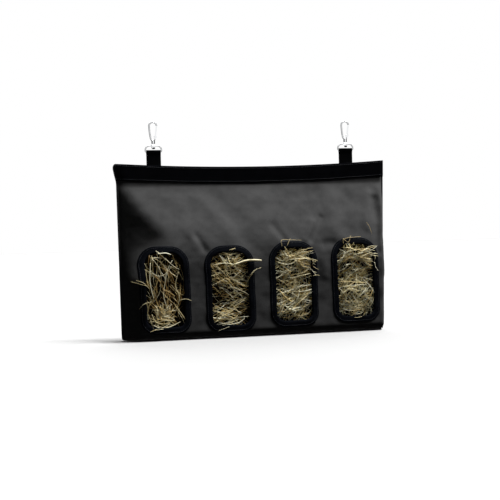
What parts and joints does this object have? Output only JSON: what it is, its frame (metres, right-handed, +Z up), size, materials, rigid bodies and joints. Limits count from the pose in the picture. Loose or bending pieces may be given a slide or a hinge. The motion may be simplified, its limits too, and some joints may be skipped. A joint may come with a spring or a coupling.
{
  "type": "hanging hay bag",
  "caption": "Flat cloth hay bag that hangs from swivel snap hooks and feeds hay slowly through tape-bound windows in its front.",
  "frame": {"origin": "middle of the hanging line that joins the inner crowns of the two snap hooks", "axes": "+Z up, the windows face -Y, +X to the right as seen from the front; the back of the bag faces +Y"},
  "size_m": [0.49, 0.0506, 0.3712],
  "materials": {
    "oxford_cloth": "coated plain-weave oxford cloth",
    "band_cloth": "folded black cloth band",
    "binding_tape": "black ribbed binding tape",
    "webbing": "black webbing",
    "hay": "dry meadow hay",
    "ring_metal": "bright nickel plate",
    "hook_metal": "bright nickel plate"
  },
  "bodies": {
    "pouch": {"back_panel": "oxford_cloth", "front_panel_lower": "oxford_cloth", "top_band_back": "band_cloth", "window_binding_1": "binding_tape", "window_binding_2": "binding_tape", "window_binding_3": "binding_tape", "window_binding_4": "binding_tape", "hay_core": "hay", "hay_tuft_1": "hay", "hay_tuft_2": "hay", "hay_tuft_3": "hay", "hay_tuft_4": "hay", "tab_left": "webbing", "tab_right": "webbing"},
    "mouth_front": {"front_panel_upper": "oxford_cloth", "top_band_front": "band_cloth"},
    "ring_left": {"dring_left": "ring_metal"},
    "eye_left": {"swivel_eye_left": "hook_metal"},
    "hook_left": {"snap_hook_left": "hook_metal", "gate_pin_left": "hook_metal"},
    "gate_left": {"snap_gate_left": "hook_metal"},
    "ring_right": {"dring_right": "ring_metal"},
    "eye_right": {"swivel_eye_right": "hook_metal"},
    "hook_right": {"snap_hook_right": "hook_metal", "gate_pin_right": "hook_metal"},
    "gate_right": {"snap_gate_right": "hook_metal"}
  },
  "joints": [
    {"name": "mouth_open", "type": "hinge", "parent": "pouch", "child": "mouth_front", "pos_m": [0, -0.044, -0.2018], "axis": [1, 0, 0], "range_deg": [0, 15]},
    {"name": "dring_left_swing", "type": "hinge", "parent": "pouch", "child": "ring_left", "pos_m": [-0.174, 0, -0.0489], "axis": [1, 0, 0], "range_deg": [-90, 90]},
    {"name": "eye_left_swing", "type": "hinge", "parent": "ring_left", "child": "eye_left", "pos_m": [-0.174, 0, -0.0384], "axis": [1, 0, 0], "range_deg": [-75, 75]},
    {"name": "swivel_left_turn", "type": "hinge", "parent": "eye_left", "child": "hook_left", "pos_m": [-0.174, 0, -0.033], "axis": [0, 0, 1], "continuous": true},
    {"name": "gate_left_open", "type": "hinge", "parent": "hook_left", "child": "gate_left", "pos_m": [-0.1701, 0, -0.0237], "axis": [0, -1, 0], "range_deg": [0, 28], "stiffness_Nm_per_rad": 0.02, "springref_deg": -20.05},
    {"name": "dring_right_swing", "type": "hinge", "parent": "pouch", "child": "ring_right", "pos_m": [0.174, 0, -0.0489], "axis": [1, 0, 0], "range_deg": [-90, 90]},
    {"name": "eye_right_swing", "type": "hinge", "parent": "ring_right", "child": "eye_right", "pos_m": [0.174, 0, -0.0384], "axis": [1, 0, 0], "range_deg": [-75, 75]},
    {"name": "swivel_right_turn", "type": "hinge", "parent": "eye_right", "child": "hook_right", "pos_m": [0.174, 0, -0.033], "axis": [0, 0, 1], "continuous": true},
    {"name": "gate_right_open", "type": "hinge", "parent": "hook_right", "child": "gate_right", "pos_m": [0.1779, 0, -0.0237], "axis": [0, -1, 0], "range_deg": [0, 28], "stiffness_Nm_per_rad": 0.02, "springref_deg": -20.05}
  ]
}
